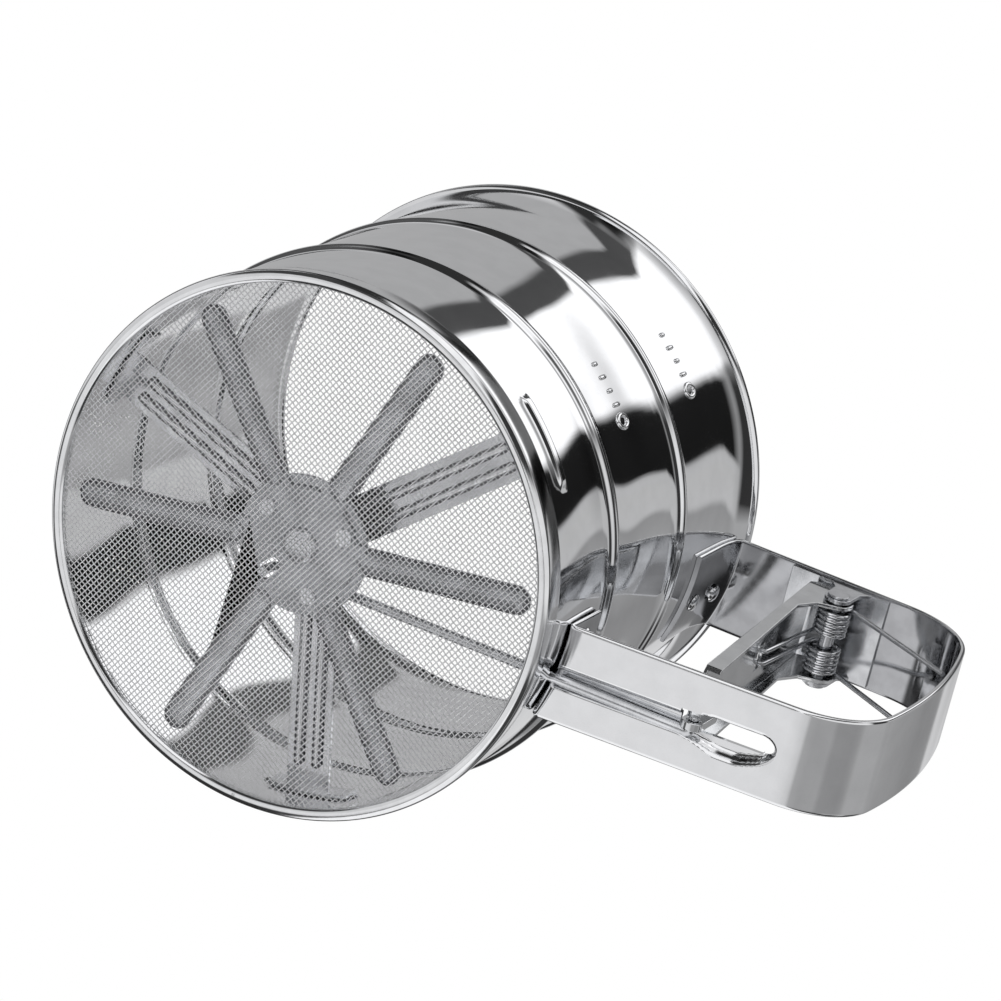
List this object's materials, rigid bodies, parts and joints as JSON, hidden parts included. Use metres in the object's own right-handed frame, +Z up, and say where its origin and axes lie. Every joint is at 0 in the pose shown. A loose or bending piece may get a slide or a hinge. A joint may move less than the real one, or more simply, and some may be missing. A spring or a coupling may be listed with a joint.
{
  "type": "flour sifter",
  "caption": "Hand-held squeeze flour sifter: polished metal cup with rolled beads, a woven screen in its base, a rotating agitator and a strap handle with a sprung trigger.",
  "frame": {"origin": "centre of the base hem's lower face, on the cup axis", "axes": "+Z up the cup axis to the open mouth, +X towards the handle, +Y completes a right-handed frame; the handle strip's middle plane stands 8.2 mm to +Y of the cup axis"},
  "size_m": [0.1655, 0.108, 0.0932],
  "materials": {
    "chrome_cup": "polished",
    "chrome_handle": "polished",
    "steel_inner": "satin",
    "screen_wire": "drawn wire",
    "spring_steel": "drawn wire"
  },
  "bodies": {
    "root": {"cup_shell": "chrome_cup", "base_hem_ring": "chrome_cup", "sifting_screen": "screen_wire", "screen_clamp_hoop": "chrome_cup", "spindle_bracket": "steel_inner", "spindle_rivet": "steel_inner", "spindle_spacer": "steel_inner", "spindle_washers": "steel_inner", "handle_strap": "chrome_handle", "handle_rivets": "chrome_handle", "trigger_bracket": "steel_inner", "trigger_pin": "steel_inner", "torsion_spring": "spring_steel"},
    "trigger": {"trigger_lever": "chrome_handle"},
    "rod": {"push_rod": "spring_steel"},
    "agitator": {"agitator_star": "steel_inner", "crank_disc": "steel_inner", "hub_rivets": "steel_inner"}
  },
  "joints": [
    {"name": "trigger_squeeze", "type": "hinge", "parent": "root", "child": "trigger", "pos_m": [0.0783, 0.0082, 0.081], "axis": [0, -1, 0], "range_deg": [0, 10.5], "stiffness_Nm_per_rad": 0.05, "deforming": ["torsion_spring"]},
    {"name": "rod_slide", "type": "slide", "parent": "root", "child": "rod", "axis": [0.9946, 0.0317, 0.0984], "range_m": [0, 0.012]},
    {"name": "agitator_turn", "type": "hinge", "parent": "root", "child": "agitator", "pos_m": [0, 0, 0.0036], "axis": [0, 0, 1], "range_deg": [-76.8, 0]}
  ],
  "couplings": [
    {"joint": "rod_slide", "follows": "trigger_squeeze", "m_per_rad": 0.06548},
    {"joint": "agitator_turn", "follows": "trigger_squeeze", "ratio": -7.314}
  ]
}
